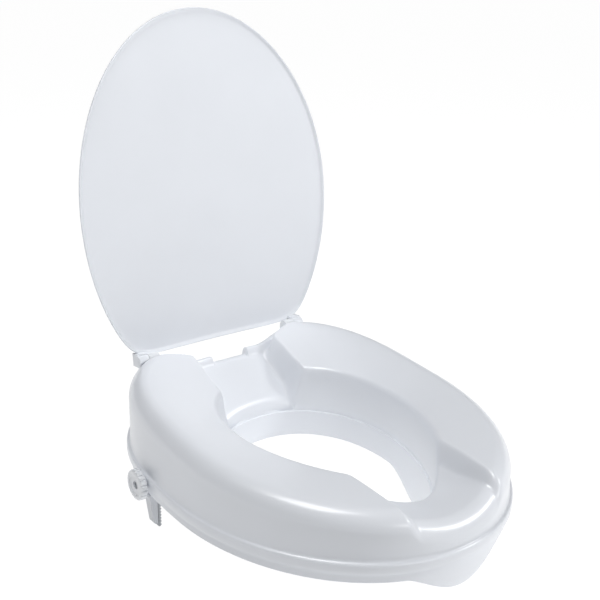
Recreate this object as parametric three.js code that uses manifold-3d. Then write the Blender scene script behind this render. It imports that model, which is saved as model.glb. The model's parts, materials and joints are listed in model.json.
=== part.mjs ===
// Raised toilet seat with a hinged lid and two screw clamps. Millimetres, +Z up, front towards -Y.
import * as THREE from 'three';
import { mergeVertices } from 'three/addons/utils/BufferGeometryUtils.js';
import Module from 'manifold-3d';

const wasm = await Module();
wasm.setup();

// ---------------------------------------------------------------- driving dimensions

// Outlines of the ring about its centre: half width, reach to the rear, reach to the front,
// and the squareness of the rear and front halves (2 is an ellipse).
const RING_CENTRE_Y = -5;
const FLANGE = { side: 183.5, rear: 221, front: 222, rearPower: 2.6, frontPower: 2.0 };
const WALL_TOP = { side: 174.2, rear: 210, front: 218.5, rearPower: 3.0, frontPower: 2.03 };
const INNER_TOP = { side: 97.5, rear: 119.5, front: 157.5, rearPower: 2.4, frontPower: 1.68 };
const STEP = { side: 97, rear: 118.5, front: 154, rearPower: 2.2, frontPower: 1.72 };
const SKIRT_FOOT = { side: 90, rear: 111, front: 150, rearPower: 2.2, frontPower: 1.7 };

// Heights, with zero just above the flange.
const CROWN = { middle: 52.3, slope: 0.0755, bend: 0.0235, radius: 21 };
const INNER_LEVEL = 43.8;
const INNER_EDGE_RADIUS = 8;
const STEP_HEIGHT = -12;
const FLANGE_TOP = -3;
const BEAD_FOOT = -12.5;
const BAND_TOP = -14.8;
const BAND_FOOT = -25.5;
const BAND_INSET = 4;
const SKIRT_FOOT_HEIGHT = -40;
const FRONT_LIP_FOOT = -59;
const LOWEST = -68;
const WALL = 3;

// Front recess between the two front crests, and the scoop with its notch at the rear.
const RECESS = { inner: 15, front: 22.5, bowl: 6, foot: 48.5, crest: 61.5, crownRadius: 18, edgeRadius: 5 };
const SCOOP = {
  half: 43, top: 59, flare: 53, shelf: 42, slope: 0.78, bendY: 165.5, setback: 20, crownRadius: 12,
  edgeRadius: 22,
};
const NOTCH_HALF_WIDTH = 24;
const REAR_LIP = 8.3;

// Front tongue that hangs outside the bowl.
const TONGUE = { half: 60, drop: 21.5, fullness: 0.65, lean: 0.07 };

// Ribs and pads under the ring that rest on the bowl.
const RIB_FOOT = -9.3;
const RIB_THICKNESS = 3;
const RIB_ANGLES = [42, 68, 112, 138, 185, 215, 242, 298, 325, 355];
const PAD_SPOTS = [
  { name: 'rim_pad_rear_right', angle: 42, radius: 150 },
  { name: 'rim_pad_rear_left', angle: 138, radius: 150 },
  { name: 'rim_pad_front_left', angle: 215, radius: 152 },
  { name: 'rim_pad_front_right', angle: 325, radius: 152 },
];
const PAD = { length: 34, width: 16, height: 3 };

// Hinge line and lid.
const HINGE = { y: 186, z: 60, radius: 7, screwY: 182.5 };
const BLOCK = { inner: 90, outer: 103, front: 178.5, rear: 193.5 };
const LUG = { inner: 103.5, outer: 116, half: 6.5, reach: 11.5 };
const PIN_RADIUS = 2.5;
const PAD_TOP = 50;
const LID = {
  lean: 7, offset: 18, middle: 170.7, side: 166, upper: 217.4, lower: 230, foot: 1.8,
  thickness: 2.4, arch: 0.00045, lip: 3,
};

// Side clamps: knob, lead screw, travelling nut, jaw.
const CLAMP = { y: 60, z: -13.5, lead: 6 };
const BOSS = { inner: 171, outer: 177, radius: 9, recess: 6.8 };
const KNOB = {
  inner: 183.4, outer: 190.9, radius: 16.5, ribs: 18, groove: 1.1, dishRadius: 11,
  hubRadius: 5.5, hubInner: 179.1,
};
const SCREW = { inner: 134, outer: 187, threadEnd: 166, radius: 4.1, rootRadius: 3.3 };
const WASHER = { inner: 177.4, outer: 178.8, radius: 5.4 };
const CLIP = { inner: 170.7, outer: 172.1, radius: 6.6 };
const NUT = { inner: 153.5, outer: 160, flats: 13 };
const ARM = {
  half: 7.4, legHalf: 5.5, carriageInner: 151, carriageOuter: 169.6, legInner: 167.2, legOuter: 176.3,
  footOuter: 172, top: -1.5, knee: -27.6, foot: -64,
};
const STRIP = { top: -38, back: 166.9, root: 165.2, tip: 163.4, teeth: 8 };
const RAIL = { inner: 122, cheek: 158, gap: 8, thickness: 3 };
const FIT = 0.4;

const FRAME_LIFT = -LOWEST;
const FRAME_SHIFT = -12.1;

// ---------------------------------------------------------------- materials

const shell = new THREE.MeshStandardMaterial({ color: 0xf2f3f5, roughness: 0.3, metalness: 0 });
const greyPlastic = new THREE.MeshStandardMaterial({ color: 0xdfe1e4, roughness: 0.5, metalness: 0 });
const rubber = new THREE.MeshStandardMaterial({ color: 0xb9bbbd, roughness: 0.8, metalness: 0 });
const steel = new THREE.MeshStandardMaterial({ color: 0xc4c7ca, roughness: 0.35, metalness: 1 });

// ---------------------------------------------------------------- small helpers

const mix = (a, b, t) => a + (b - a) * t;

function smooth(from, to, value) {
  const t = Math.min(1, Math.max(0, (value - from) / (to - from)));
  return t * t * (3 - 2 * t);
}

// three.js geometry to a solid and back, for joining and cutting.
function toSolid(geometry) {
  const plain = geometry.clone();
  plain.deleteAttribute('normal');
  plain.deleteAttribute('uv');
  const welded = mergeVertices(plain, 1e-4);
  const vertProperties = new Float32Array(welded.attributes.position.array);
  const triVerts = new Uint32Array(welded.index.array);
  return new wasm.Manifold(new wasm.Mesh({ numProp: 3, vertProperties, triVerts }));
}

function toGeometry(solid) {
  const mesh = solid.getMesh();
  const positions = new Float32Array(mesh.vertProperties);
  return indexedGeometry(positions, [...mesh.triVerts]);
}

function indexedGeometry(positions, faces) {
  const geometry = new THREE.BufferGeometry();
  geometry.setAttribute('position', new THREE.Float32BufferAttribute(positions, 3));
  geometry.setIndex(faces);
  geometry.computeVertexNormals();
  return geometry;
}

function join(first, ...others) {
  return toGeometry(others.reduce((solid, other) => solid.add(toSolid(other)), toSolid(first)));
}

function cut(first, ...others) {
  return toGeometry(others.reduce((solid, other) => solid.subtract(toSolid(other)), toSolid(first)));
}

function box(x0, x1, y0, y1, z0, z1) {
  const geometry = new THREE.BoxGeometry(x1 - x0, y1 - y0, z1 - z0);
  return geometry.translate((x0 + x1) / 2, (y0 + y1) / 2, (z0 + z1) / 2);
}

function barAlongX(x0, x1, y, z, radius, sides = 24) {
  const geometry = new THREE.CylinderGeometry(radius, radius, x1 - x0, sides);
  return geometry.rotateZ(Math.PI / 2).translate((x0 + x1) / 2, y, z);
}

function barAlongZ(x, y, z0, z1, radius, sides = 24) {
  const geometry = new THREE.CylinderGeometry(radius, radius, z1 - z0, sides);
  return geometry.rotateX(Math.PI / 2).translate(x, y, (z0 + z1) / 2);
}

// The same piece on the other side of the seat.
function mirrored(geometry, sign) {
  if (sign > 0) return geometry;
  const plain = geometry.clone();
  plain.deleteAttribute('normal');
  plain.deleteAttribute('uv');
  const welded = mergeVertices(plain, 1e-4);
  const positions = [...welded.attributes.position.array].map((value, i) => (i % 3 === 0 ? -value : value));
  return indexedGeometry(positions, [...welded.index.array].reverse());
}

// A solid swept round the ring: one closed profile of [radius, height] pairs per angle.
function sweepRing(angles, profileAt) {
  const profiles = angles.map(profileAt);
  const count = profiles[0].length;
  const positions = [];
  const faces = [];
  profiles.forEach((profile, i) => {
    const next = (i + 1) % angles.length;
    profile.forEach(([radius, height], j) => {
      positions.push(radius * Math.cos(angles[i]), RING_CENTRE_Y + radius * Math.sin(angles[i]), height);
      const k = (j + 1) % count;
      const a = i * count + j;
      const b = next * count + j;
      const c = next * count + k;
      const d = i * count + k;
      faces.push(a, b, c, a, c, d);
    });
  });
  return indexedGeometry(positions, faces);
}

// ---------------------------------------------------------------- shape of the ring

// Radius of an outline at an angle measured from +X towards +Y.
function outline(shape, angle) {
  const rear = Math.sin(angle) > 0;
  const reach = rear ? shape.rear : shape.front;
  const power = rear ? shape.rearPower : shape.frontPower;
  const across = Math.abs(Math.cos(angle) / shape.side) ** power;
  const along = Math.abs(Math.sin(angle) / reach) ** power;
  return (across + along) ** (-1 / power);
}

function crown(y) {
  return CROWN.middle + CROWN.slope * y + CROWN.bend * (Math.hypot(y, 30) - 30);
}

// Heights of the top between the inner edge (share 0) and the crown line (share 1).
function ringHeight(x, y, share) {
  return mix(INNER_LEVEL, crown(y), 1 - (1 - share) ** 1.5);
}

function recessHeight(x, y) {
  const floor = mix(RECESS.inner, RECESS.front, smooth(-150, -215, y));
  return floor + RECESS.bowl * (Math.min(Math.abs(x), 60) / 40) ** 2;
}

function scoopHeight(x, y, share) {
  const ramp = SCOOP.shelf - SCOOP.slope * (SCOOP.bendY - y);
  const floor = (ramp + SCOOP.shelf) / 2 - Math.hypot((ramp - SCOOP.shelf) / 2, 2);
  const besideNotch = smooth(NOTCH_HALF_WIDTH - 0.7, NOTCH_HALF_WIDTH + 0.7, Math.abs(x));
  return floor + REAR_LIP * smooth(0.84, 0.98, share) * besideNotch;
}

// How far a spot belongs to the front recess, from 0 on the ring to 1 on the floor.
function recessShare(x, y, skin) {
  if (y > -60) return 0;
  return 1 - smooth(RECESS.foot + 0.8 * skin, RECESS.crest + 0.8 * skin, Math.abs(x));
}

// How far a spot belongs to the rear scoop, from 0 on the ring to 1 on the floor.
function scoopShare(x, y, skin) {
  if (y < 60) return 0;
  const top = SCOOP.top + SCOOP.flare * smooth(160, 184, y);
  return 1 - smooth(SCOOP.half + 0.5 * skin, top + 0.5 * skin, Math.abs(x));
}

// Line over the top from the outer wall to the inner wall, as [radius, height] pairs. It lies
// `skin` inside the surface, so that the same rule also gives the hollow underneath.
function section(angle, crownRadius, setback, edge, height, skin, steps) {
  const wall = outline(WALL_TOP, angle);
  const inner = outline(INNER_TOP, angle);
  const crownAt = wall - crownRadius - setback;
  const span = crownAt - inner - edge;
  const heightAt = (share) => {
    const radius = inner + edge + span * share;
    return height(radius * Math.cos(angle), RING_CENTRE_Y + radius * Math.sin(angle), share);
  };
  const crest = heightAt(1);
  const line = [];
  for (let i = 0; i <= steps.crown; i += 1) {
    const turn = (Math.PI / 2) * (i / steps.crown);
    const radius = crownRadius - skin;
    line.push([crownAt + radius * Math.cos(turn), crest - crownRadius + radius * Math.sin(turn)]);
  }
  for (let i = 1; i < steps.dish; i += 1) {
    const share = 1 - i / steps.dish;
    line.push([inner + edge + span * share, heightAt(share) - skin]);
  }
  const slope = Math.atan((heightAt(0.03) - heightAt(0)) / (0.03 * span));
  const lean = Math.min(0.9, Math.max(0, slope));
  const start = heightAt(0) - edge / Math.cos(lean);
  const radius = Math.max(edge - skin, 0.2);
  for (let i = 0; i <= steps.edge; i += 1) {
    const turn = mix(Math.PI / 2 + lean, Math.PI, i / steps.edge);
    const lift = radius * Math.sin(turn) - Math.max(0, skin - edge);
    line.push([inner + edge + radius * Math.cos(turn), start + lift]);
  }
  return line;
}

// The ring's section, blended into the recess's or the scoop's where they cut through it.
function topLine(angle, skin, steps) {
  const ring = section(angle, CROWN.radius, 0, INNER_EDGE_RADIUS, ringHeight, skin, steps);
  const front = Math.sin(angle) < 0;
  const other = front
    ? section(angle, RECESS.crownRadius, 0, RECESS.edgeRadius, recessHeight, skin, steps)
    : section(angle, SCOOP.crownRadius, SCOOP.setback, SCOOP.edgeRadius, scoopHeight, skin, steps);
  const shareAt = front ? recessShare : scoopShare;
  return ring.map(([radius, height], i) => {
    const x = radius * Math.cos(angle);
    const y = RING_CENTRE_Y + radius * Math.sin(angle);
    const share = shareAt(x, y, skin);
    return [mix(radius, other[i][0], share), mix(height, other[i][1], share)];
  });
}

// Depth of the band below the flange: level, with the tongue at the front.
function bandFoot(angle, radius) {
  if (Math.sin(angle) > 0) return BAND_FOOT;
  const share = Math.min(1, Math.abs(radius * Math.cos(angle)) / TONGUE.half);
  return BAND_FOOT - TONGUE.drop * Math.cos((Math.PI / 2) * share) ** (2 * TONGUE.fullness);
}

// Depth of the inner skirt: it deepens towards the front into an inner lip.
function skirtFoot(angle, radius) {
  const y = RING_CENTRE_Y + radius * Math.sin(angle);
  return mix(SKIRT_FOOT_HEIGHT, FRONT_LIP_FOOT, smooth(-20, -78, y));
}

function skirtRadius(angle, height) {
  const depth = (STEP_HEIGHT - height) / (STEP_HEIGHT - SKIRT_FOOT_HEIGHT);
  return mix(outline(STEP, angle) - 1.8, outline(SKIRT_FOOT, angle), Math.min(depth, 1));
}

function ringProfile(angle) {
  const flange = outline(FLANGE, angle);
  const band = flange - BAND_INSET;
  const foot = bandFoot(angle, band);
  const lean = TONGUE.lean * (BAND_FOOT - foot);
  const skirtDepth = skirtFoot(angle, outline(SKIRT_FOOT, angle));
  return [
    [band - lean - 0.8, foot],
    [band - lean, foot + 0.8],
    [band, Math.max(BAND_FOOT + 2, foot + 2)],
    [band, BAND_TOP],
    [flange - 1, BEAD_FOOT - 0.8],
    [flange, BEAD_FOOT + 0.4],
    [flange, FLANGE_TOP - 2.8],
    [flange - 0.7, FLANGE_TOP - 1.1],
    [flange - 2.4, FLANGE_TOP],
    [flange - 3.5, FLANGE_TOP + 0.8],
    [flange - 4.2, FLANGE_TOP + 2.6],
    ...topLine(angle, 0, { crown: 4, dish: 6, edge: 3 }),
    [outline(STEP, angle) + 0.6, STEP_HEIGHT + 1],
    [outline(STEP, angle), STEP_HEIGHT],
    [skirtRadius(angle, STEP_HEIGHT), STEP_HEIGHT - 0.6],
    [skirtRadius(angle, skirtDepth), skirtDepth + 0.8],
    [skirtRadius(angle, skirtDepth) + 0.8, skirtDepth],
  ];
}

function hollowProfile(angle) {
  const flange = outline(FLANGE, angle);
  const band = flange - BAND_INSET - WALL;
  const foot = bandFoot(angle, band);
  const lean = TONGUE.lean * (BAND_FOOT - foot);
  const deepest = LOWEST - 10;
  return [
    [band - lean - TONGUE.lean * (foot - deepest) * smooth(0, 8, lean), deepest],
    [band - lean, foot],
    [band, Math.max(BAND_FOOT + 2, foot + 2)],
    [band, -7],
    [band - 0.6, -4.5],
    ...topLine(angle, WALL, { crown: 4, dish: 6, edge: 3 }),
    [outline(STEP, angle) + WALL, STEP_HEIGHT],
    [skirtRadius(angle, deepest) + WALL, SKIRT_FOOT_HEIGHT],
    [skirtRadius(angle, deepest) + WALL, deepest],
  ];
}

// Angles of the ring's sections: even steps, closer where the recess and the notch turn sharply.
function ringAngles() {
  const degrees = new Set();
  for (let a = -50; a <= 230; a += 8.75) degrees.add(a);
  for (const a of [0, 5, 9, 11, 13, 15, 17, 19, 21, 23.5, 26.5, 30, 34]) {
    degrees.add(270 + a);
    degrees.add(270 - a);
  }
  const rear = 195;
  for (const x of [NOTCH_HALF_WIDTH - 0.9, NOTCH_HALF_WIDTH + 0.9]) {
    const a = THREE.MathUtils.radToDeg(Math.asin(x / rear));
    degrees.add(90 + a);
    degrees.add(90 - a);
  }
  return [...degrees].map((a) => (a + 360) % 360).sort((a, b) => a - b).map(THREE.MathUtils.degToRad);
}

// ---------------------------------------------------------------- pieces

const part = new THREE.Group();
part.name = 'raised_toilet_seat';
const placed = new THREE.Group();
placed.name = 'placed';
placed.position.set(0, FRAME_SHIFT, FRAME_LIFT);
part.add(placed);

function addPiece(name, geometry, material) {
  const mesh = new THREE.Mesh(geometry, material);
  mesh.name = name;
  placed.add(mesh);
}

function atAngle(geometry, angle) {
  return geometry.rotateZ(THREE.MathUtils.degToRad(angle)).translate(0, RING_CENTRE_Y, 0);
}

const SIDES = [
  { name: 'left', sign: -1 },
  { name: 'right', sign: 1 },
];

// What is left standing inside the hollow: ribs, pad shelves, clamp rails and hinge seats.
function innerWebs() {
  const webs = [];
  for (const angle of RIB_ANGLES) {
    const rib = box(70, 195, -RIB_THICKNESS / 2, RIB_THICKNESS / 2, RIB_FOOT, 90);
    webs.push(atAngle(rib, angle));
  }
  for (const { angle, radius } of PAD_SPOTS) {
    const long = PAD.length / 2 + 1;
    const wide = PAD.width / 2 + 1;
    webs.push(atAngle(box(radius - long, radius + long, -wide, wide, RIB_FOOT, RIB_FOOT + 3), angle));
  }
  for (const { sign } of SIDES) {
    for (const y of [CLAMP.y - RAIL.gap - RAIL.thickness, CLAMP.y + RAIL.gap]) {
      webs.push(mirrored(box(RAIL.inner, 178, y, y + RAIL.thickness, RIB_FOOT, 90), sign));
      webs.push(mirrored(box(RAIL.cheek, 178, y, y + RAIL.thickness, BAND_FOOT + 1, 0), sign));
    }
    const seat = box(BLOCK.inner - 4, LUG.outer + 4, BLOCK.front - 5.5, 204, PAD_TOP - 4, 80);
    webs.push(mirrored(seat, sign));
  }
  return webs;
}

function seatBody() {
  const angles = ringAngles();
  const hollow = cut(sweepRing(angles, hollowProfile), ...innerWebs());
  const boss = barAlongX(BOSS.inner, BOSS.outer, CLAMP.y, CLAMP.z, BOSS.radius);
  const skin = join(sweepRing(angles, ringProfile), boss, mirrored(boss, -1));
  const holes = SIDES.flatMap(({ sign }) => [
    box(BLOCK.inner - 0.8, LUG.outer + 1.2, BLOCK.front - 1.5, 230, PAD_TOP, 90),
    barAlongZ((BLOCK.inner + BLOCK.outer) / 2, HINGE.screwY, PAD_TOP - 8, PAD_TOP + 1, 2.5, 16),
    barAlongZ((BLOCK.inner + BLOCK.outer) / 2, HINGE.screwY, PAD_TOP - 14, PAD_TOP - 4, 4.3, 16),
    barAlongX(165, 185, CLAMP.y, CLAMP.z, SCREW.radius + FIT),
    barAlongX(BOSS.outer, 190, CLAMP.y, CLAMP.z, BOSS.recess),
  ].map((hole) => mirrored(hole, sign)));
  return cut(skin, hollow, ...holes);
}

// The lid stands in its own frame: X across, Y away from the seat, Z from the hinge to the tip.
function lidOutline(turn) {
  const reach = Math.sin(turn) > 0 ? LID.upper : LID.lower;
  const ellipse = ((Math.cos(turn) / LID.side) ** 2 + (Math.sin(turn) / reach) ** 2) ** -0.5;
  if (Math.sin(turn) >= 0) return ellipse;
  const straight = (LID.middle - LID.foot) / -Math.sin(turn);
  return (ellipse ** -22 + straight ** -22) ** (-1 / 22);
}

function lidSheet() {
  const around = 64;
  const rings = [
    [0.3, 0], [0.6, 0], [0.82, 0], [0.93, 0], [0.975, 0.35], [0.995, 0.8], [1, 1],
  ];
  const positions = [];
  const faces = [];
  const put = (x, up, lift) => positions.push(x, LID.offset - LID.arch * x * x - lift, up);
  put(0, LID.middle, 0);
  put(0, LID.middle, LID.thickness);
  const outer = (ring, i) => 2 + ring * around + (i % around);
  const innerRing = rings.length;
  for (let pass = 0; pass < 2; pass += 1) {
    for (const [share, drop] of rings) {
      for (let i = 0; i < around; i += 1) {
        const turn = (2 * Math.PI * i) / around;
        const narrowing = pass === 1 && share > 0.9 ? LID.thickness * 8 * (share - 0.9) : 0;
        const inset = 1 - narrowing / lidOutline(turn);
        const radius = lidOutline(turn) * share * inset;
        const lift = LID.lip * drop + pass * LID.thickness * (share === 1 ? 0.55 : 1);
        put(radius * Math.cos(turn), LID.middle + radius * Math.sin(turn), lift);
      }
    }
  }
  for (let i = 0; i < around; i += 1) {
    faces.push(0, outer(0, i), outer(0, i + 1));
    faces.push(1, outer(innerRing, i + 1), outer(innerRing, i));
    for (let r = 0; r < rings.length - 1; r += 1) {
      faces.push(outer(r, i), outer(r + 1, i), outer(r + 1, i + 1));
      faces.push(outer(r, i), outer(r + 1, i + 1), outer(r, i + 1));
      const s = r + innerRing;
      faces.push(outer(s, i), outer(s + 1, i + 1), outer(s + 1, i));
      faces.push(outer(s, i), outer(s, i + 1), outer(s + 1, i + 1));
    }
    const last = rings.length - 1;
    faces.push(outer(last, i), outer(last + innerRing, i), outer(last + innerRing, i + 1));
    faces.push(outer(last, i), outer(last + innerRing, i + 1), outer(last, i + 1));
  }
  return indexedGeometry(positions, faces.reverse());
}

function lid() {
  const lugs = [];
  const bores = [];
  for (const { sign } of SIDES) {
    const knuckle = barAlongX(LUG.inner, LUG.outer, 0, 0, HINGE.radius);
    const arm = box(LUG.inner, LUG.outer, 0, LUG.reach, -LUG.half, LUG.half + 2);
    lugs.push(mirrored(join(knuckle, arm), sign));
    bores.push(mirrored(barAlongX(LUG.inner - 1, LUG.outer - 3, 0, 0, PIN_RADIUS + FIT), sign));
  }
  const closed = cut(join(lidSheet(), ...lugs), ...bores);
  return closed.rotateX(-THREE.MathUtils.degToRad(LID.lean)).translate(0, HINGE.y, HINGE.z);
}

function hingeBlock() {
  const foot = box(BLOCK.inner, BLOCK.outer, BLOCK.front, BLOCK.rear, PAD_TOP + 0.3, HINGE.z);
  const knuckle = barAlongX(BLOCK.inner, BLOCK.outer, HINGE.y, HINGE.z, HINGE.radius);
  const bore = barAlongX(BLOCK.inner + 3, BLOCK.outer + 1, HINGE.y, HINGE.z, PIN_RADIUS + FIT);
  const screwHole = barAlongZ((BLOCK.inner + BLOCK.outer) / 2, HINGE.screwY, PAD_TOP, PAD_TOP + 6, 2.3, 16);
  return cut(join(foot, knuckle), bore, screwHole);
}

const hingePin = () => barAlongX(BLOCK.inner + 3.4, LUG.outer - 3.4, HINGE.y, HINGE.z, PIN_RADIUS, 20);

function hingeScrew() {
  const x = (BLOCK.inner + BLOCK.outer) / 2;
  const head = barAlongZ(x, HINGE.screwY, PAD_TOP - 7.3, PAD_TOP - 4.3, 3.7, 20);
  const shank = barAlongZ(x, HINGE.screwY, PAD_TOP - 6, PAD_TOP + 5.6, 1.95, 16);
  const slot = box(x - 3, x + 3, HINGE.screwY - 0.6, HINGE.screwY + 0.6, PAD_TOP - 8, PAD_TOP - 6);
  return cut(join(head, shank), slot);
}

function knob() {
  const shape = new THREE.Shape();
  const points = KNOB.ribs * 3;
  for (let i = 0; i < points; i += 1) {
    const turn = (2 * Math.PI * i) / points;
    const radius = i % 3 === 0 ? KNOB.radius - KNOB.groove : KNOB.radius;
    if (i === 0) shape.moveTo(radius, 0);
    else shape.lineTo(radius * Math.cos(turn), radius * Math.sin(turn));
  }
  shape.closePath();
  const bevel = 1.2;
  const depth = KNOB.outer - KNOB.inner - 2 * bevel;
  const options = { depth, bevelThickness: bevel, bevelSize: bevel, bevelOffset: -bevel, bevelSegments: 1 };
  const disc = new THREE.ExtrudeGeometry(shape, options).translate(0, 0, bevel);
  disc.rotateY(Math.PI / 2).translate(KNOB.inner, CLAMP.y, CLAMP.z);
  const hub = barAlongX(KNOB.hubInner, KNOB.inner + 1, CLAMP.y, CLAMP.z, KNOB.hubRadius);
  const bore = barAlongX(KNOB.hubInner - 1, SCREW.outer + FIT, CLAMP.y, CLAMP.z, SCREW.radius + FIT);
  const dish = barAlongX(KNOB.outer - 1, KNOB.outer + 1, CLAMP.y, CLAMP.z, KNOB.dishRadius, 32);
  return cut(join(disc, hub), bore, dish);
}

// Lead screw: a plain journal through the band and knob, then a coarse thread to the inner end.
function leadScrew() {
  const around = 10;
  const along = 26;
  const stations = [];
  for (let i = 0; i <= along; i += 1) stations.push(mix(SCREW.inner, SCREW.threadEnd, i / along));
  stations.push(SCREW.threadEnd + 0.6, SCREW.outer);
  const positions = [];
  const faces = [];
  for (const x of stations) {
    for (let k = 0; k < around; k += 1) {
      const turn = (2 * Math.PI * k) / around;
      const phase = (x / CLAMP.lead + k / around) % 1;
      const ridge = smooth(0.2, 0.8, Math.abs(phase - 0.5) * 2);
      const radius = x > SCREW.threadEnd ? SCREW.radius : mix(SCREW.rootRadius, SCREW.radius, ridge);
      positions.push(x, CLAMP.y + radius * Math.cos(turn), CLAMP.z + radius * Math.sin(turn));
    }
  }
  const rows = stations.length;
  positions.push(SCREW.inner, CLAMP.y, CLAMP.z, SCREW.outer, CLAMP.y, CLAMP.z);
  for (let k = 0; k < around; k += 1) {
    const n = (k + 1) % around;
    for (let i = 0; i < rows - 1; i += 1) {
      const here = i * around;
      const there = here + around;
      faces.push(here + k, here + n, there + n, here + k, there + n, there + k);
    }
    faces.push(rows * around, n, k);
    faces.push(rows * around + 1, (rows - 1) * around + k, (rows - 1) * around + n);
  }
  return indexedGeometry(positions, faces);
}

function ringWasher(x0, x1, outerRadius) {
  const disc = barAlongX(x0, x1, CLAMP.y, CLAMP.z, outerRadius);
  return cut(disc, barAlongX(x0 - 1, x1 + 1, CLAMP.y, CLAMP.z, SCREW.radius + FIT));
}

// The clip is an open ring, as it is pushed on to the screw from the side.
function retainingClip() {
  const gap = box(CLIP.inner - 1, CLIP.outer + 1, CLAMP.y - 2.4, CLAMP.y + 2.4, CLAMP.z, CLAMP.z + 12);
  return cut(ringWasher(CLIP.inner, CLIP.outer, CLIP.radius), gap);
}

function hexBar(x0, x1, flats) {
  return barAlongX(x0, x1, CLAMP.y, CLAMP.z, flats / 2 / Math.cos(Math.PI / 6), 6);
}

function clampNut() {
  const bore = barAlongX(NUT.inner - 1, NUT.outer + 1, CLAMP.y, CLAMP.z, SCREW.radius + FIT);
  return cut(hexBar(NUT.inner, NUT.outer, NUT.flats), bore);
}

// Extrudes an outline drawn in X and Z across the jaw's width.
function acrossJaw(shape, half) {
  const options = { depth: 2 * half, bevelEnabled: false, curveSegments: 5 };
  const geometry = new THREE.ExtrudeGeometry(shape, options);
  return geometry.rotateX(Math.PI / 2).translate(0, CLAMP.y + half, 0);
}

// Jaw arm: a carriage that slides between the rails and a leg that hangs outside the bowl.
function jawArm() {
  const carriage = new THREE.Shape();
  carriage.moveTo(ARM.carriageInner, ARM.top);
  carriage.lineTo(ARM.carriageInner, -24);
  carriage.lineTo(ARM.carriageInner + 7, ARM.knee - 4);
  carriage.lineTo(ARM.carriageOuter, ARM.knee - 4);
  carriage.lineTo(ARM.carriageOuter, ARM.top);
  carriage.closePath();
  const leg = new THREE.Shape();
  leg.moveTo(ARM.carriageInner + 7, ARM.knee);
  leg.lineTo(ARM.carriageInner + 7, ARM.knee - 4.5);
  leg.lineTo(ARM.legInner, ARM.knee - 9);
  leg.lineTo(ARM.legInner, ARM.foot);
  leg.lineTo(ARM.footOuter - 1.5, ARM.foot);
  leg.quadraticCurveTo(ARM.footOuter - 0.2, ARM.foot + 0.4, ARM.footOuter, ARM.foot + 2.5);
  leg.lineTo(ARM.legOuter, ARM.knee - 4);
  leg.quadraticCurveTo(ARM.legOuter, ARM.knee, ARM.legOuter - 3, ARM.knee);
  leg.closePath();
  const nutPocket = hexBar(ARM.carriageInner - 1, NUT.outer + FIT, NUT.flats + 0.7);
  const bore = barAlongX(148, 173, CLAMP.y, CLAMP.z, SCREW.radius + 0.8);
  const arm = join(acrossJaw(carriage, ARM.half), acrossJaw(leg, ARM.legHalf));
  return cut(arm, nutPocket, bore);
}

// Toothed strip on the inner face of the leg.
function jawStrip() {
  const shape = new THREE.Shape();
  const pitch = (STRIP.top - LOWEST) / STRIP.teeth;
  shape.moveTo(STRIP.back, STRIP.top);
  for (let i = 0; i < STRIP.teeth; i += 1) {
    shape.lineTo(STRIP.root, STRIP.top - i * pitch);
    shape.lineTo(STRIP.tip, STRIP.top - (i + 0.5) * pitch);
  }
  shape.lineTo(STRIP.root, LOWEST);
  shape.lineTo(STRIP.back, LOWEST);
  shape.closePath();
  return acrossJaw(shape, ARM.legHalf + 0.6);
}

function rimPad({ angle, radius }) {
  const half = PAD.length / 2;
  const top = RIB_FOOT - 0.3;
  const wide = PAD.width / 2;
  return atAngle(box(radius - half, radius + half, -wide, wide, top - PAD.height, top), angle);
}

// ---------------------------------------------------------------- assembly

addPiece('seat_body', seatBody(), shell);
addPiece('lid', lid(), shell);
for (const { name, sign } of SIDES) {
  addPiece(`hinge_block_${name}`, mirrored(hingeBlock(), sign), shell);
  addPiece(`hinge_pin_${name}`, mirrored(hingePin(), sign), steel);
  addPiece(`hinge_screw_${name}`, mirrored(hingeScrew(), sign), steel);
  addPiece(`clamp_knob_${name}`, mirrored(knob(), sign), shell);
  addPiece(`clamp_screw_${name}`, mirrored(leadScrew(), sign), greyPlastic);
  const washer = ringWasher(WASHER.inner, WASHER.outer, WASHER.radius);
  addPiece(`screw_washer_${name}`, mirrored(washer, sign), steel);
  addPiece(`screw_clip_${name}`, mirrored(retainingClip(), sign), steel);
  addPiece(`clamp_nut_${name}`, mirrored(clampNut(), sign), steel);
  addPiece(`jaw_arm_${name}`, mirrored(jawArm(), sign), greyPlastic);
  addPiece(`jaw_strip_${name}`, mirrored(jawStrip(), sign), rubber);
}
for (const spot of PAD_SPOTS) addPiece(spot.name, rimPad(spot), rubber);

export default part;
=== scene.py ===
"""Raised toilet seat with its lid up, on a white floor in soft studio light.

The seat shell, the lid and the two clamp knobs are made here. The other pieces come from the frame and
only get their materials here. Dimensions are in mm, in the design frame of the part: x to the right,
y to the rear, z up from the foot of the ring."""

import json
import math

import bpy
from mathutils import Matrix, Vector


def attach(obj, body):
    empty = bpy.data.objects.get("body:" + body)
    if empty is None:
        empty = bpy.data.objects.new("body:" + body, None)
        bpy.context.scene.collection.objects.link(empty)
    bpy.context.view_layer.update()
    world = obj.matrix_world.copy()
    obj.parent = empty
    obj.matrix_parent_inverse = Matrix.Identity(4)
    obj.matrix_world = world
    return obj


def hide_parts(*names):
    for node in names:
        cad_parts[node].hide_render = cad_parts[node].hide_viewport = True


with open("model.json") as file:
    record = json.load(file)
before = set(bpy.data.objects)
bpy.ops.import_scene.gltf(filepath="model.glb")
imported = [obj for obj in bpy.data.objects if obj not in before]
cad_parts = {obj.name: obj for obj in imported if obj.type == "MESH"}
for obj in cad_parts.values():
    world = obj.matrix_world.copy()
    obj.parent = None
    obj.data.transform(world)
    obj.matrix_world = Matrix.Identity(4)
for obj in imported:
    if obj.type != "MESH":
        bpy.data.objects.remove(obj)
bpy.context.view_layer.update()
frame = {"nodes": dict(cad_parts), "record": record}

MM = 0.001
SHIFT = Vector((0.0, -12.1, 68.0))      # from the design frame to the frame of the scene

# ------------------------------------------------------------------ seat dimensions
CENTRE_Y = -5.0
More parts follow.
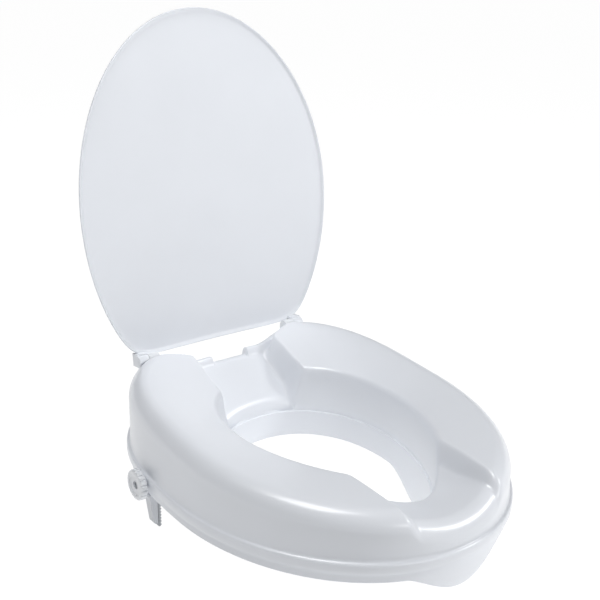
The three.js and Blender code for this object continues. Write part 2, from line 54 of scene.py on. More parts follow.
# Outlines: half width, reach to the rear, reach to the front, squareness of the rear and of the front.
FLANGE = (183.5, 221.0, 222.0, 2.6, 2.0)
WALL_TOP = (174.2, 210.0, 218.5, 3.0, 2.03)
INNER_TOP = (97.5, 119.5, 157.5, 2.4, 1.68)
STEP = (97.0, 118.5, 154.0, 2.2, 1.72)
SKIRT_FOOT = (90.0, 111.0, 150.0, 2.2, 1.7)
CROWN_MIDDLE, CROWN_SLOPE, CROWN_BEND, CROWN_BEND_HALF, CROWN_RADIUS = 52.3, 0.0755, 0.0235, 30.0, 21.0
INNER_LEVEL, INNER_EDGE, DISH_POWER = 43.8, 8.0, 1.5
# The inner edge starts at the slope of the top, which is measured over this share of its width.
SLOPE_SHARE, STEEPEST_EDGE, SMALLEST_EDGE = 0.03, 0.9, 0.2
STEP_HEIGHT, STEP_DEPTH = -12.0, 1.8
FLANGE_TOP, BEAD_FOOT, BAND_TOP, BAND_FOOT, BAND_INSET = -3.0, -12.5, -14.8, -25.5, 4.0
SKIRT_FOOT_HEIGHT, FRONT_LIP_FOOT, LOWEST = -40.0, -59.0, -68.0
SKIRT_DEEPENS_Y = (-20.0, -78.0)
WALL = 3.0

# The front recess: floor heights, the rise of its floor to the sides, and where its side walls stand.
RECESS_INNER, RECESS_FRONT, RECESS_RISE_Y = 15.0, 22.5, (-150.0, -215.0)
RECESS_BOWL, RECESS_BOWL_HALF, RECESS_BOWL_END = 6.0, 40.0, 60.0
RECESS_FOOT, RECESS_CREST, RECESS_CROWN, RECESS_EDGE = 48.5, 61.5, 18.0, 5.0
RECESS_BACK_Y, RECESS_WALL_SHIFT = -60.0, 0.8

# The rear scoop: a ramp that bends into a level shelf, with a lip that the notch cuts through.
SCOOP_HALF, SCOOP_TOP, SCOOP_FLARE, SCOOP_FLARE_Y = 43.0, 59.0, 53.0, (160.0, 184.0)
SCOOP_SHELF, SCOOP_SLOPE, SCOOP_BEND_Y, SCOOP_BEND_SOFTNESS = 42.0, 0.78, 165.5, 2.0
SCOOP_CROWN, SCOOP_EDGE, SCOOP_SETBACK = 12.0, 22.0, 20.0
SCOOP_FRONT_Y, SCOOP_WALL_SHIFT = 60.0, 0.5
NOTCH_HALF, NOTCH_EDGE = 24.0, 0.7
REAR_LIP, REAR_LIP_SHARES = 8.3, (0.84, 0.98)

TONGUE_HALF, TONGUE_DROP, TONGUE_FULLNESS, TONGUE_LEAN = 60.0, 21.5, 0.65, 0.07

# Inside the hollow: ribs, shelves for the rim pads, rails for the clamp arms and seats for the hinges.
RIB_INNER, RIB_OUTER, RIB_FOOT, RIB_THICKNESS, WEB_TOP = 70.0, 195.0, -9.3, 3.0, 90.0
RIB_ANGLES = (42, 68, 112, 138, 185, 215, 242, 298, 325, 355)
PAD_SPOTS = ((42, 150), (138, 150), (215, 152), (325, 152))
PAD_LENGTH, PAD_WIDTH, PAD_SHELF = 34.0, 16.0, 3.0
RAIL_INNER, RAIL_CHEEK, RAIL_OUTER, RAIL_GAP, RAIL_THICKNESS = 122.0, 158.0, 178.0, 8.0, 3.0

# Hinges. BLOCK holds x from and to, and y from and to; LUG holds x from and to.
HINGE_Y, HINGE_Z, HINGE_RADIUS, PIN_RADIUS = 186.0, 60.0, 7.0, 2.5
BLOCK = (90.0, 103.0, 178.5, 193.5)
LUG, LUG_HALF, LUG_EXTRA, LUG_REACH, LUG_EDGE = (103.5, 116.0), 6.5, 2.0, 11.5, 0.7
PAD_TOP, PAD_THICKNESS = 50.0, 4.0
HINGE_SCREW_Y, HINGE_SCREW_HOLE, HINGE_SCREW_HEAD_HOLE = 182.5, 2.5, 4.3
HINGE_SEAT_SIDE, HINGE_SEAT_FRONT, HINGE_SEAT_REAR, HINGE_SEAT_TOP = 4.0, 5.5, 204.0, 80.0
POCKET_INNER, POCKET_OUTER, POCKET_FRONT, POCKET_REAR, POCKET_TOP = 0.8, 1.2, 1.5, 230.0, 90.0

# Clamp bosses, screw holes and knobs. The knob's x values run from the hub to the outer face.
CLAMP_Y, CLAMP_Z, SCREW_RADIUS, SCREW_GAP = 60.0, -13.5, 4.1, 0.4
BOSS_INNER, BOSS_OUTER, BOSS_RADIUS = 171.0, 177.0, 9.0
SCREW_HOLE, HUB_HOLE, HUB_HOLE_RADIUS = (165.0, 185.0), (177.0, 190.0), 6.8
KNOB_HUB, KNOB_INNER, KNOB_OUTER = 179.1, 183.4, 190.9
KNOB_RADIUS, KNOB_HUB_RADIUS, KNOB_DISH_RADIUS, KNOB_DISH = 16.5, 5.5, 11.0, 1.2
KNOB_RIBS, KNOB_GROOVE = 18, 1.2

# The lid in its own plane: heights are measured up from the hinge line.
LID_LEAN, LID_OFFSET, LID_MIDDLE = 7.0, 18.0, 170.7
LID_SIDE, LID_UPPER, LID_LOWER, LID_FOOT, LID_CORNERS = 166.0, 217.4, 230.0, 1.8, 22
LID_THICKNESS, LID_ARCH, LID_LIP = 2.4, 0.00045, 3.0

# Edges turned by more than a crease angle, in radians, are shaded crisp or rounded.
CREASE, KNOB_CREASE, FITTING_EDGE = 0.6, 0.5, 0.6


def mix(a, b, t):
    return a + (b - a) * t


def smooth(low, high, value):
    t = min(1.0, max(0.0, (value - low) / (high - low)))
    return t * t * (3 - 2 * t)


# ------------------------------------------------------------------ shape of the ring
def outline(shape, angle):
    """Distance from the ring's centre to an outline, at an angle from the right-hand side."""
    side, rear, front, rear_power, front_power = shape
    s, c = math.sin(angle), math.cos(angle)
    reach, power = (rear, rear_power) if s > 0 else (front, front_power)
    return (abs(c / side) ** power + abs(s / reach) ** power) ** (-1 / power)


def crown(y):
    """Height of the ring's crown, which rises towards the rear, and faster behind the middle."""
    bend = math.hypot(y, CROWN_BEND_HALF) - CROWN_BEND_HALF
    return CROWN_MIDDLE + CROWN_SLOPE * y + CROWN_BEND * bend


def ring_height(x, y, share):
    """Top of the ring between its level inner edge (share 0) and its crown (share 1)."""
    return mix(INNER_LEVEL, crown(y), 1 - (1 - share) ** DISH_POWER)


def recess_height(x, y, share):
    floor = mix(RECESS_INNER, RECESS_FRONT, smooth(*RECESS_RISE_Y, y))
    return floor + RECESS_BOWL * (min(abs(x), RECESS_BOWL_END) / RECESS_BOWL_HALF) ** 2


def scoop_height(x, y, share):
    ramp = SCOOP_SHELF - SCOOP_SLOPE * (SCOOP_BEND_Y - y)
    floor = (ramp + SCOOP_SHELF) / 2 - math.hypot((ramp - SCOOP_SHELF) / 2, SCOOP_BEND_SOFTNESS)
    beside_notch = smooth(NOTCH_HALF - NOTCH_EDGE, NOTCH_HALF + NOTCH_EDGE, abs(x))
    return floor + REAR_LIP * smooth(*REAR_LIP_SHARES, share) * beside_notch


def recess_share(x, y, skin):
    """How far a spot belongs to the front recess, from 0 on the ring to 1 on the floor."""
    if y > RECESS_BACK_Y:
        return 0.0
    shift = RECESS_WALL_SHIFT * skin
    return 1 - smooth(RECESS_FOOT + shift, RECESS_CREST + shift, abs(x))


def scoop_share(x, y, skin):
    """How far a spot belongs to the rear scoop, from 0 on the ring to 1 on the floor."""
    if y < SCOOP_FRONT_Y:
        return 0.0
    shift = SCOOP_WALL_SHIFT * skin
    top = SCOOP_TOP + SCOOP_FLARE * smooth(*SCOOP_FLARE_Y, y)
    return 1 - smooth(SCOOP_HALF + shift, top + shift, abs(x))


def section(angle, crown_radius, setback, edge, height, skin, steps):
    """Line over the top from the outer wall to the inner wall, as (radius, height) pairs.

    It lies `skin` inside the surface, so the same rule also gives the hollow underneath."""
    wall, inner = outline(WALL_TOP, angle), outline(INNER_TOP, angle)
    c, s = math.cos(angle), math.sin(angle)
    crown_at = wall - crown_radius - setback
    span = crown_at - inner - edge

    def height_at(share):
        radius = inner + edge + span * share
        return height(radius * c, CENTRE_Y + radius * s, share)

    crest = height_at(1)
    crown_steps, dish_steps, edge_steps = steps
    line = []
    for i in range(crown_steps + 1):
        turn = math.pi / 2 * i / crown_steps
        radius = crown_radius - skin
        height_now = crest - crown_radius + radius * math.sin(turn)
        line.append((crown_at + radius * math.cos(turn), height_now))
    for i in range(1, dish_steps):
        share = 1 - i / dish_steps
        line.append((inner + edge + span * share, height_at(share) - skin))
    slope = math.atan((height_at(SLOPE_SHARE) - height_at(0)) / (SLOPE_SHARE * span))
    lean = min(STEEPEST_EDGE, max(0, slope))
    start = height_at(0) - edge / math.cos(lean) - max(0, skin - edge)
    radius = max(edge - skin, SMALLEST_EDGE)
    for i in range(edge_steps + 1):
        turn = mix(math.pi / 2 + lean, math.pi, i / edge_steps)
        line.append((inner + edge + radius * math.cos(turn), start + radius * math.sin(turn)))
    return line


def top_line(angle, skin, steps):
    """The ring's section, blended into the recess's or the scoop's where they cut through it."""
    ring = section(angle, CROWN_RADIUS, 0, INNER_EDGE, ring_height, skin, steps)
    c, s = math.cos(angle), math.sin(angle)
    if s < 0:
        other = section(angle, RECESS_CROWN, 0, RECESS_EDGE, recess_height, skin, steps)
        share_at = recess_share
    else:
        other = section(angle, SCOOP_CROWN, SCOOP_SETBACK, SCOOP_EDGE, scoop_height, skin, steps)
        share_at = scoop_share
    line = []
    for (r0, z0), (r1, z1) in zip(ring, other):
        share = share_at(r0 * c, CENTRE_Y + r0 * s, skin)
        line.append((mix(r0, r1, share), mix(z0, z1, share)))
    return line


def band_foot(angle, radius):
    """Depth of the band below the bead: level, with the tongue at the front."""
    if math.sin(angle) > 0:
        return BAND_FOOT
    share = min(1.0, abs(radius * math.cos(angle)) / TONGUE_HALF)
    return BAND_FOOT - TONGUE_DROP * math.cos(math.pi / 2 * share) ** (2 * TONGUE_FULLNESS)


def skirt_foot(angle, radius):
    """Depth of the inner skirt, which deepens towards the front into a lip."""
    y = CENTRE_Y + radius * math.sin(angle)
    return mix(SKIRT_FOOT_HEIGHT, FRONT_LIP_FOOT, smooth(*SKIRT_DEEPENS_Y, y))


def skirt_radius(angle, height):
    depth = (STEP_HEIGHT - height) / (STEP_HEIGHT - SKIRT_FOOT_HEIGHT)
    return mix(outline(STEP, angle) - STEP_DEPTH, outline(SKIRT_FOOT, angle), min(depth, 1))


def spread(points, pieces):
    """The same line, with each of its stretches divided into the given number of pieces."""
    line = []
    for (r0, z0), (r1, z1), count in zip(points, points[1:], pieces):
        for i in range(count):
            line.append((mix(r0, r1, i / count), mix(z0, z1, i / count)))
    line.append(points[-1])
    return line


def ring_profile(angle):
    """Closed section of the solid ring: up its outside, over its top and down into the opening."""
    flange = outline(FLANGE, angle)
    band = flange - BAND_INSET
    foot = band_foot(angle, band)
    lean = TONGUE_LEAN * (BAND_FOOT - foot)
    deep = skirt_foot(angle, outline(SKIRT_FOOT, angle))
    top = top_line(angle, 0, (12, 30, 9))
    lower = spread([
        (band - lean - 1.5, foot), (band - lean - 0.5, foot + 0.25), (band - lean, foot + 1.3),
        (band, max(BAND_FOOT + 2, foot + 2)), (band, BAND_TOP - 0.6), (band + 0.4, BAND_TOP + 0.3),
        (band + 1.2, BAND_TOP + 0.8), (flange - 1.2, BEAD_FOOT - 1.0), (flange - 0.3, BEAD_FOOT - 0.4),
        (flange, BEAD_FOOT + 0.6), (flange, FLANGE_TOP - 3.2), (flange - 0.3, FLANGE_TOP - 1.8),
        (flange - 1.0, FLANGE_TOP - 0.8), (flange - 2.1, FLANGE_TOP - 0.15),
        (flange - 3.0, FLANGE_TOP + 0.3), (flange - 3.7, FLANGE_TOP + 1.2),
        (flange - 4.2, FLANGE_TOP + 2.8), top[0],
    ], [1, 1, 4, 3, 1, 1, 1, 1, 1, 2, 1, 1, 1, 1, 1, 1, 5])
    step = outline(STEP, angle)
    upper = spread([
        top[-1], (step + 0.8, STEP_HEIGHT + 1.2), (step + 0.4, STEP_HEIGHT + 0.2),
        (skirt_radius(angle, STEP_HEIGHT) + 0.2, STEP_HEIGHT - 0.3),
        (skirt_radius(angle, STEP_HEIGHT), STEP_HEIGHT - 1.0),
        (skirt_radius(angle, deep), deep + 1.5), (skirt_radius(angle, deep) + 0.4, deep + 0.4),
        (skirt_radius(angle, deep) + 1.5, deep),
    ], [5, 1, 1, 1, 5, 1, 1])
    return lower[:-1] + top[:-1] + upper


def hollow_profile(angle):
    """Closed section of what is taken out of the ring from below."""
    band = outline(FLANGE, angle) - BAND_INSET - WALL
    foot = band_foot(angle, band)
    lean = TONGUE_LEAN * (BAND_FOOT - foot)
    deepest = LOWEST - 10
    mouth = band - lean - TONGUE_LEAN * (foot - deepest) * smooth(0, 8, lean)
    skirt = skirt_radius(angle, deepest) + WALL
    top = top_line(angle, WALL, (6, 15, 4))
    outer = spread([
        (mouth, deepest), (band - lean, foot), (band, max(BAND_FOOT + 2, foot + 2)), (band, -7),
        (band - 0.6, -4.5), top[0],
    ], [1, 3, 2, 1, 1])
    inner = spread([
        top[-1], (outline(STEP, angle) + WALL, STEP_HEIGHT), (skirt, SKIRT_FOOT_HEIGHT), (skirt, deepest),
    ], [3, 3, 1])
    return outer[:-1] + top[:-1] + inner


# ------------------------------------------------------------------ mesh helpers
def place(point):
    """A point of the design frame, in mm, to the scene, in metres."""
    return (Vector(point) + SHIFT) * MM


def new_object(name, vertices, faces):
    mesh = bpy.data.meshes.new(name)
    mesh.from_pydata([place(v) for v in vertices], [], faces)
    mesh.update()
    obj = bpy.data.objects.new(name, mesh)
    bpy.context.scene.collection.objects.link(obj)
    return obj


def box_object(x0, x1, y0, y1, z0, z1, turn=None):
    """A box. With a turn, it is drawn from the ring's centre outwards and turned about that centre."""
    corners = [Vector((x, y, z)) for x in (x0, x1) for y in (y0, y1) for z in (z0, z1)]
    if turn is not None:
        centre = Vector((0, CENTRE_Y, 0))
        corners = [Matrix.Rotation(turn, 3, "Z") @ corner + centre for corner in corners]
    faces = [(0, 1, 3, 2), (4, 6, 7, 5), (0, 4, 5, 1), (2, 3, 7, 6), (0, 2, 6, 4), (1, 5, 7, 3)]
    return new_object("cutter", corners, faces)


def bar_object(axis, start, end, centre, radius, sides=48):
    """A cylinder along X or Z, where centre holds its two other coordinates."""
    ring = [(radius * math.cos(2 * math.pi * i / sides), radius * math.sin(2 * math.pi * i / sides))
            for i in range(sides)]
    points = []
    for along in (start, end):
        for u, v in ring:
            if axis == "X":
                points.append((along, centre[0] + u, centre[1] + v))
            else:
                points.append((centre[0] + u, centre[1] + v, along))
    faces = [tuple(reversed(range(sides))), tuple(range(sides, 2 * sides))]
    for i in range(sides):
        n = (i + 1) % sides
        faces.append((i, n, sides + n, sides + i))
    return new_object("cutter", points, faces)


def mirrored(obj):
    """The same cutter on the other side of the seat."""
    copy = obj.copy()
    copy.data = obj.data.copy()
    bpy.context.scene.collection.objects.link(copy)
    copy.data.transform(Matrix.Scale(-1, 4, (1, 0, 0)))
    copy.data.flip_normals()
    return copy


def both(obj):
    return [obj, mirrored(obj)]


def dress(obj, material):
    obj.data.materials.clear()
    obj.data.materials.append(material)


def combine(obj, tools, operation):
    """Joins the tools to obj or cuts them from it, and clears them away."""
    for tool in tools:
        modifier = obj.modifiers.new("join", "BOOLEAN")
        modifier.operation = operation
        modifier.solver = "MANIFOLD"
        modifier.object = tool
        settle(obj)
        mesh = tool.data
        bpy.data.objects.remove(tool)
        bpy.data.meshes.remove(mesh)


def settle(obj):
    """Applies obj's modifiers to its mesh."""
    graph = bpy.context.evaluated_depsgraph_get()
    mesh = bpy.data.meshes.new_from_object(obj.evaluated_get(graph))
    old = obj.data
    obj.modifiers.clear()
    obj.data = mesh
    bpy.data.meshes.remove(old)


def soften(obj, width):
    """Rounds the sharp edges of obj."""
    modifier = obj.modifiers.new("soft edges", "BEVEL")
    modifier.width = width * MM
    modifier.segments = 2
    modifier.limit_method = "ANGLE"
    modifier.angle_limit = CREASE
    modifier.harden_normals = False


def shade(obj, angle):
    """Smooth shading, with edges sharper than the angle left crisp."""
    for polygon in obj.data.polygons:
        polygon.use_smooth = True
    obj.data.set_sharp_from_angle(angle=angle)


# ------------------------------------------------------------------ materials
def new_material(name):
    material = bpy.data.materials.new(name)
    material.use_nodes = True
    nodes = material.node_tree.nodes
    return material, nodes, material.node_tree.links, nodes["Principled BSDF"]


def set_range(node, start, end):
    """The values that a map range node gives at the low and the high end of its input."""
    node.inputs["To Min"].default_value = start
    node.inputs["To Max"].default_value = end


def plastic(name, colour, roughness, grain, coat):
    """Moulded plastic: faint cloudiness, slightly uneven gloss and a very fine moulded texture."""
    material, nodes, links, shader = new_material(name)
    where = nodes.new("ShaderNodeTexCoord")
    cloud = nodes.new("ShaderNodeTexNoise")
    cloud.inputs["Scale"].default_value = 9
    cloud.inputs["Detail"].default_value = 3
    tint = nodes.new("ShaderNodeValToRGB")
    tint.color_ramp.elements[0].position = 0.3
    tint.color_ramp.elements[0].color = (*[c * 0.97 for c in colour], 1)
    tint.color_ramp.elements[1].position = 0.7
    tint.color_ramp.elements[1].color = (*colour, 1)
    gloss = nodes.new("ShaderNodeMapRange")
    set_range(gloss, roughness * 0.85, roughness * 1.15)
    fine = nodes.new("ShaderNodeTexNoise")
    fine.inputs["Scale"].default_value = 1400
    fine.inputs["Detail"].default_value = 1
    bump = nodes.new("ShaderNodeBump")
    bump.inputs["Strength"].default_value = grain
    bump.inputs["Distance"].default_value = 0.0002
    links.new(where.outputs["Object"], cloud.inputs["Vector"])
    links.new(where.outputs["Object"], fine.inputs["Vector"])
    links.new(cloud.outputs["Fac"], tint.inputs["Fac"])
    links.new(tint.outputs["Color"], shader.inputs["Base Color"])
    links.new(cloud.outputs["Fac"], gloss.inputs["Value"])
    links.new(gloss.outputs["Result"], shader.inputs["Roughness"])
    links.new(fine.outputs["Fac"], bump.inputs["Height"])
    links.new(bump.outputs["Normal"], shader.inputs["Normal"])
    shader.inputs["IOR"].default_value = 1.49
    shader.inputs["Coat Weight"].default_value = coat
    shader.inputs["Coat Roughness"].default_value = 0.12
    return material


def brushed(name):
    """Plated steel with fine turning marks."""
    material, nodes, links, shader = new_material(name)
    shader.inputs["Metallic"].default_value = 1
    where = nodes.new("ShaderNodeTexCoord")
    stretch = nodes.new("ShaderNodeMapping")
    stretch.inputs["Scale"].default_value = (3000, 400, 400)
    marks = nodes.new("ShaderNodeTexNoise")
    marks.inputs["Scale"].default_value = 1
    tint = nodes.new("ShaderNodeValToRGB")
    tint.color_ramp.elements[0].color = (0.5, 0.51, 0.52, 1)
    tint.color_ramp.elements[1].color = (0.72, 0.73, 0.74, 1)
    rough = nodes.new("ShaderNodeMapRange")
    set_range(rough, 0.25, 0.45)
    links.new(where.outputs["Object"], stretch.inputs["Vector"])
    links.new(stretch.outputs["Vector"], marks.inputs["Vector"])
    links.new(marks.outputs["Fac"], tint.inputs["Fac"])
    links.new(tint.outputs["Color"], shader.inputs["Base Color"])
    links.new(marks.outputs["Fac"], rough.inputs["Value"])
    links.new(rough.outputs["Result"], shader.inputs["Roughness"])
    return material


shell_plastic = plastic("shell_plastic", (0.80, 0.825, 0.87), 0.3, 0.05, 0.2)
fitting_plastic = plastic("fitting_plastic", (0.78, 0.80, 0.83), 0.3, 0.08, 0.2)
clamp_plastic = plastic("clamp_plastic", (0.62, 0.64, 0.67), 0.42, 0.15, 0.0)
grip_rubber = plastic("grip_rubber", (0.42, 0.44, 0.46), 0.75, 0.3, 0.0)
steel = brushed("plated_steel")


# ------------------------------------------------------------------ seat shell
def swept(name, profile_at, stations=720):
    """A closed ring-shaped body whose section at each angle is profile_at(angle)."""
    rows = []
    for i in range(stations):
        angle = 2 * math.pi * i / stations
        c, s = math.cos(angle), math.sin(angle)
        rows.append([(r * c, CENTRE_Y + r * s, z) for r, z in profile_at(angle)])
    count = len(rows[0])
    faces = []
    for i in range(stations):
        n = (i + 1) % stations
        for j in range(count):
            k = (j + 1) % count
            faces.append((i * count + j, n * count + j, n * count + k, i * count + k))
    return new_object(name, [point for row in rows for point in row], faces)


def inner_webs():
    """What is left standing inside the hollow: ribs, pad shelves, clamp rails and hinge seats."""
    webs = []
    half = RIB_THICKNESS / 2
    for angle in RIB_ANGLES:
        webs.append(box_object(RIB_INNER, RIB_OUTER, -half, half, RIB_FOOT, WEB_TOP, math.radians(angle)))
    long, wide = PAD_LENGTH / 2 + 1, PAD_WIDTH / 2 + 1
    for angle, radius in PAD_SPOTS:
        webs.append(box_object(radius - long, radius + long, -wide, wide, RIB_FOOT, RIB_FOOT + PAD_SHELF,
                               math.radians(angle)))
    for y in (CLAMP_Y - RAIL_GAP - RAIL_THICKNESS, CLAMP_Y + RAIL_GAP):
        webs += both(box_object(RAIL_INNER, RAIL_OUTER, y, y + RAIL_THICKNESS, RIB_FOOT, WEB_TOP))
        webs += both(box_object(RAIL_CHEEK, RAIL_OUTER, y, y + RAIL_THICKNESS, BAND_FOOT + 1, 0))
    x0, x1, y0, _ = BLOCK
    webs += both(box_object(x0 - HINGE_SEAT_SIDE, LUG[1] + HINGE_SEAT_SIDE, y0 - HINGE_SEAT_FRONT,
                            HINGE_SEAT_REAR, PAD_TOP - PAD_THICKNESS, HINGE_SEAT_TOP))
    return webs


def seat_shell():
    """The ring, hollow from below, with the clamp bosses, hinge pockets and screw holes."""
    shell = swept("seat_shell", ring_profile)
    hollow = swept("hollow", hollow_profile)
    combine(hollow, inner_webs(), "DIFFERENCE")
    clamp = (CLAMP_Y, CLAMP_Z)
    combine(shell, both(bar_object("X", BOSS_INNER, BOSS_OUTER, clamp, BOSS_RADIUS)), "UNION")
    x0, x1, y0, _ = BLOCK
    screw = ((x0 + x1) / 2, HINGE_SCREW_Y)
    cutters = [hollow]
    cutters += both(box_object(x0 - POCKET_INNER, LUG[1] + POCKET_OUTER, y0 - POCKET_FRONT, POCKET_REAR,
                               PAD_TOP, POCKET_TOP))
    cutters += both(bar_object("Z", PAD_TOP - 8, PAD_TOP + 1, screw, HINGE_SCREW_HOLE))
    cutters += both(bar_object("Z", PAD_TOP - 14, PAD_TOP - PAD_THICKNESS, screw, HINGE_SCREW_HEAD_HOLE))
    cutters += both(bar_object("X", *SCREW_HOLE, clamp, SCREW_RADIUS + SCREW_GAP))
    cutters += both(bar_object("X", *HUB_HOLE, clamp, HUB_HOLE_RADIUS))
    combine(shell, cutters, "DIFFERENCE")
    return shell


seat = seat_shell()
shade(seat, CREASE)
dress(seat, shell_plastic)
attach(seat, "seat")
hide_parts("seat_body")


# ------------------------------------------------------------------ lid
def lid_outline(turn):
    """Distance from the lid's middle to its edge: an oval with a straight foot and rounded corners."""
    s, c = math.sin(turn), math.cos(turn)
    reach = LID_UPPER if s > 0 else LID_LOWER
    ellipse = ((c / LID_SIDE) ** 2 + (s / reach) ** 2) ** -0.5
    if s >= 0:
        return ellipse
    straight = (LID_MIDDLE - LID_FOOT) / -s
    return (ellipse ** -LID_CORNERS + straight ** -LID_CORNERS) ** (-1 / LID_CORNERS)


def lid_point(x, up, lift):
    """From the lid's own plane to the design frame."""
    lean = math.radians(LID_LEAN)
    back = LID_OFFSET - LID_ARCH * x * x - lift
    return (x, HINGE_Y + back * math.cos(lean) + up * math.sin(lean),
            HINGE_Z - back * math.sin(lean) + up * math.cos(lean))


def lid_sheet():
    """The lid as rings of points: out over its rear face, round its lip and back over its front face.

    Each ring is a share of the outline, or an inset from it, with how far it lies before the rear face."""
    around = 288
    shares = [0.15 * i for i in range(1, 6)] + [0.82, 0.88, 0.92]
    half, front = LID_THICKNESS / 2, LID_THICKNESS
    rings = [(share, None, 0.0) for share in shares]
    rings += [(None, 6, 0.0), (None, 4, 0.25), (None, 2.4, 0.8), (None, 1.2, 1.5), (None, 0.4, 2.2)]
    rings += [(None, 0.0, LID_LIP), (None, 0.0, LID_LIP + 0.9 * half), (None, 0.25, LID_LIP + 1.4 * half)]
    rings += [(None, 0.8, LID_LIP + 1.7 * half), (None, 1.5, LID_LIP + 1.6 * half)]
    rings += [(None, 2.4, LID_LIP + 1.1 * half), (None, 3.4, front + 0.9), (None, 4.6, front + 0.3)]
    rings += [(None, 6.4, front)] + [(share, None, front) for share in reversed(shares)]
    vertices = [lid_point(0, LID_MIDDLE, 0), lid_point(0, LID_MIDDLE, front)]
    for share, inset, lift in rings:
        for i in range(around):
            turn = 2 * math.pi * i / around
            reach = lid_outline(turn)
            radius = reach * share if share is not None else reach - inset
            vertices.append(lid_point(radius * math.cos(turn), LID_MIDDLE + radius * math.sin(turn), lift))
    faces = []
    last = 2 + (len(rings) - 1) * around
    for i in range(around):
        n = (i + 1) % around
        faces.append((0, 2 + n, 2 + i))
        faces.append((1, last + i, last + n))
        for r in range(len(rings) - 1):
            a = 2 + r * around
            b = a + around
            faces.append((a + i, a + n, b + n, b + i))
    return new_object("lid_shell", vertices, faces)


def tilt(obj):
    """Turns a piece drawn upright at the hinge line to the lean of the open lid."""
    hinge = Matrix.Translation(place((0, HINGE_Y, HINGE_Z)))
    obj.data.transform(hinge @ Matrix.Rotation(-math.radians(LID_LEAN), 4, "X") @ hinge.inverted())
    return obj


def add_lugs(sheet):
    """Joins the two hinge lugs to the lid and drills them for their pins."""
    line = (HINGE_Y, HINGE_Z)
    low, high = HINGE_Z - LUG_HALF, HINGE_Z + LUG_HALF + LUG_EXTRA
    for sign in (-1, 1):
        near, far = sorted((sign * LUG[0], sign * LUG[1]))
        knuckle = bar_object("X", near, far, line, HINGE_RADIUS, 64)
        arm = box_object(near, far, HINGE_Y, HINGE_Y + LUG_REACH, low, high)
        combine(knuckle, [arm], "UNION")
        soften(knuckle, LUG_EDGE)
        settle(knuckle)
        combine(sheet, [tilt(knuckle)], "UNION")
        near, far = sorted((sign * (LUG[0] - 1), sign * (LUG[1] - 3)))
        combine(sheet, [bar_object("X", near, far, line, PIN_RADIUS + 0.4)], "DIFFERENCE")


lid = lid_sheet()
add_lugs(lid)
shade(lid, CREASE)
dress(lid, shell_plastic)
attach(lid, "lid")
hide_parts("lid")

# ------------------------------------------------------------------ clamp knobs
def knob_shell(sign):
    """A ribbed disc with a rounded outer edge, a dished face and a hub that meets the band."""
    around = KNOB_RIBS * 12
    rim, hub, dish, bore = KNOB_RADIUS, KNOB_HUB_RADIUS, KNOB_DISH_RADIUS, SCREW_RADIUS + SCREW_GAP
    inner, outer, floor_at = KNOB_INNER, KNOB_OUTER, KNOB_OUTER - KNOB_DISH
    # Radius, distance out from the seat, and how much of the ribs' depth shows there.
    line = [
        (bore, KNOB_HUB, 0), (hub - 0.3, KNOB_HUB, 0), (hub, KNOB_HUB + 0.3, 0), (hub, inner - 0.6, 0),
        (hub + 0.6, inner, 0), (rim - 1.9, inner, 0), (rim - 0.6, inner + 0.3, 0.6), (rim, inner + 1.1, 1),
        (rim, mix(inner, outer, 0.5), 1), (rim, outer - 1.9, 1), (rim - 0.4, outer - 0.9, 1),
        (rim - 1.3, outer - 0.25, 0.7), (rim - 2.3, outer, 0.2), (dish + 1.0, outer, 0),
        (dish + 0.4, outer - 0.2, 0), (dish, outer - 0.9, 0), (dish - 0.6, floor_at, 0),
        (hub + 0.9, floor_at, 0), (bore, floor_at, 0), (bore, outer - 4, 0),
    ]
    vertices = []
    for radius, out, depth in line:
        for i in range(around):
            turn = 2 * math.pi * i / around
            groove = max(0.0, math.cos(turn * KNOB_RIBS)) ** 3 * KNOB_GROOVE * depth
            r = radius - groove
            vertices.append((sign * out, CLAMP_Y + r * math.cos(turn), CLAMP_Z + r * math.sin(turn)))
    faces = []
    for row in range(len(line)):
        after = (row + 1) % len(line)
        for i in range(around):
            n = (i + 1) % around
            quad = (row * around + i, row * around + n, after * around + n, after * around + i)
            faces.append(quad if sign > 0 else tuple(reversed(quad)))
    return new_object("knob_left" if sign < 0 else "knob_right", vertices, faces)


for side, sign in (("left", -1), ("right", 1)):
    knob = knob_shell(sign)
    shade(knob, KNOB_CREASE)
    dress(knob, fitting_plastic)
    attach(knob, side + "_knob")
    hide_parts("clamp_knob_" + side)

# ------------------------------------------------------------------ carried-over pieces
FINISH = {
    "fitting": fitting_plastic,
    "clamp_plastic": clamp_plastic,
    "grip_rubber": grip_rubber,
    "steel": steel,
}
for entry in frame["record"]["subparts"]:
    obj = frame["nodes"][entry["node"]]
    material = FINISH.get(entry["material_slot"])
    if material is None:
        continue  # the seat and the lid, which are made above
    dress(obj, material)
    if entry["node"].startswith(("hinge_block", "jaw_arm", "rim_pad")):
        soften(obj, FITTING_EDGE)

# ------------------------------------------------------------------ floor, light and camera
# All of these are in metres, in the frame of the scene.
FLOOR_SIZE, FLOOR_DROP = 90.0, 0.0005
# The floor glows white except in a patch on the camera's side of the seat. There its glow is turned down,
# which paints a shadow and dims the glow that lights the seat's near walls.
PAINTED_SHADOW_SPOT, PAINTED_SHADOW_REACH = (-0.52, -0.67, 0.0), (0.3, 0.62)
FLOOR_GLOW = (0.08, 0.98)            # in the grey patch, and away from it
SKY_FADE, SKY_GLOW = (0.04, 0.1), (0.95, 0.05)
# Name, place, where it aims, width and height, watts.
SOFTBOXES = (
    ("top", (-0.45, 0.0, 2.1), (0, 0, 0.1), (0.8, 0.8), 24),
    ("right", (1.6, -1.4, 1.5), (0, 0, 0.15), (0.6, 0.6), 19),
    ("front", (0.1, -2.4, 1.2), (0, 0, 0.2), (1.2, 0.6), 14),
)
CAMERA_AT, CAMERA_LENS = (-0.600376, -0.752191, 0.581244), 59.048
CAMERA_TURN = (-37.703, 19.902, 1.422)      # azimuth, height angle and roll, in degrees


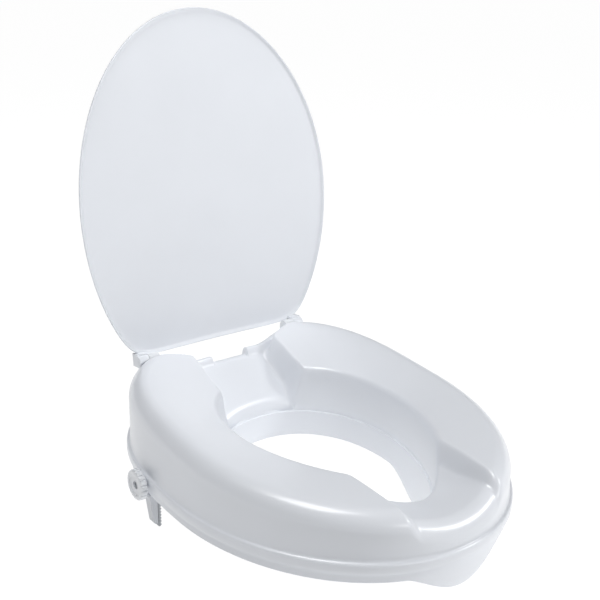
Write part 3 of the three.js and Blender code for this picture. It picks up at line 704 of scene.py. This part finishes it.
def smooth_step(nodes, reach, values):
    """A map range node that eases from one value to another over a reach of its input."""
    step = nodes.new("ShaderNodeMapRange")
    step.interpolation_type = "SMOOTHSTEP"
    step.inputs["From Min"].default_value, step.inputs["From Max"].default_value = reach
    set_range(step, *values)
    return step


def floor_material():
    """White paper that is lit from below, so that it glows, but for a grey patch on one side of the seat
    where the glow is turned down: a painted shadow.
    """
    material, nodes, links, shader = new_material("pale_floor")
    where = nodes.new("ShaderNodeTexCoord")
    away = nodes.new("ShaderNodeVectorMath")
    away.operation = "DISTANCE"
    away.inputs[1].default_value = PAINTED_SHADOW_SPOT
    # Painted shadow: the glow falls to its low value inside the grey patch.
    painted_shadow_fade = smooth_step(nodes, PAINTED_SHADOW_REACH, FLOOR_GLOW)
    links.new(where.outputs["Object"], away.inputs[0])
    links.new(away.outputs["Value"], painted_shadow_fade.inputs["Value"])
    links.new(painted_shadow_fade.outputs["Result"], shader.inputs["Emission Strength"])
    shader.inputs["Base Color"].default_value = (0.12, 0.12, 0.12, 1)
    shader.inputs["Roughness"].default_value = 0.9
    shader.inputs["Specular IOR Level"].default_value = 0.0
    shader.inputs["Emission Color"].default_value = (1, 1, 1, 1)
    return material


def add_floor():
    bpy.ops.mesh.primitive_plane_add(size=FLOOR_SIZE, location=(0, 0, -FLOOR_DROP))
    floor = bpy.context.object
    floor.name = "floor"
    floor.data.materials.append(floor_material())


def add_sky():
    """A pale band along the horizon under a dim sky."""
    world = bpy.data.worlds.new("studio")
    bpy.context.scene.world = world
    world.use_nodes = True
    nodes, links = world.node_tree.nodes, world.node_tree.links
    background = nodes["Background"]
    background.inputs["Color"].default_value = (0.97, 0.98, 1.0, 1)
    direction = nodes.new("ShaderNodeTexCoord")
    split = nodes.new("ShaderNodeSeparateXYZ")
    haze = smooth_step(nodes, SKY_FADE, SKY_GLOW)
    links.new(direction.outputs["Generated"], split.inputs["Vector"])
    links.new(split.outputs["Z"], haze.inputs["Value"])
    links.new(haze.outputs["Result"], background.inputs["Strength"])


def add_softbox(name, location, target, size, power):
    light = bpy.data.lights.new(name, "AREA")
    light.shape = "RECTANGLE"
    light.size, light.size_y = size
    light.energy = power
    obj = bpy.data.objects.new(name, light)
    bpy.context.scene.collection.objects.link(obj)
    obj.location = location
    obj.rotation_euler = (Vector(target) - Vector(location)).to_track_quat("-Z", "Y").to_euler()


def add_camera():
    azimuth, height, roll = (math.radians(angle) for angle in CAMERA_TURN)
    level = math.cos(height)
    back = Vector((math.sin(azimuth) * level, -math.cos(azimuth) * level, math.sin(height)))
    right = Vector((math.cos(azimuth), math.sin(azimuth), 0))
    up = back.cross(right)
    across = right * math.cos(roll) + up * math.sin(roll)
    above = up * math.cos(roll) - right * math.sin(roll)
    camera = bpy.data.objects.new("camera", bpy.data.cameras.new("camera"))
    bpy.context.scene.collection.objects.link(camera)
    camera.data.sensor_width = 36
    camera.data.lens = CAMERA_LENS
    turn = Matrix((across, above, back)).transposed().to_4x4()
    camera.matrix_world = Matrix.Translation(CAMERA_AT) @ turn
    bpy.context.scene.camera = camera


add_floor()
add_sky()
for softbox in SOFTBOXES:
    add_softbox(*softbox)
add_camera()
bpy.context.scene.view_settings.view_transform = "Standard"

bpy.context.view_layer.update()
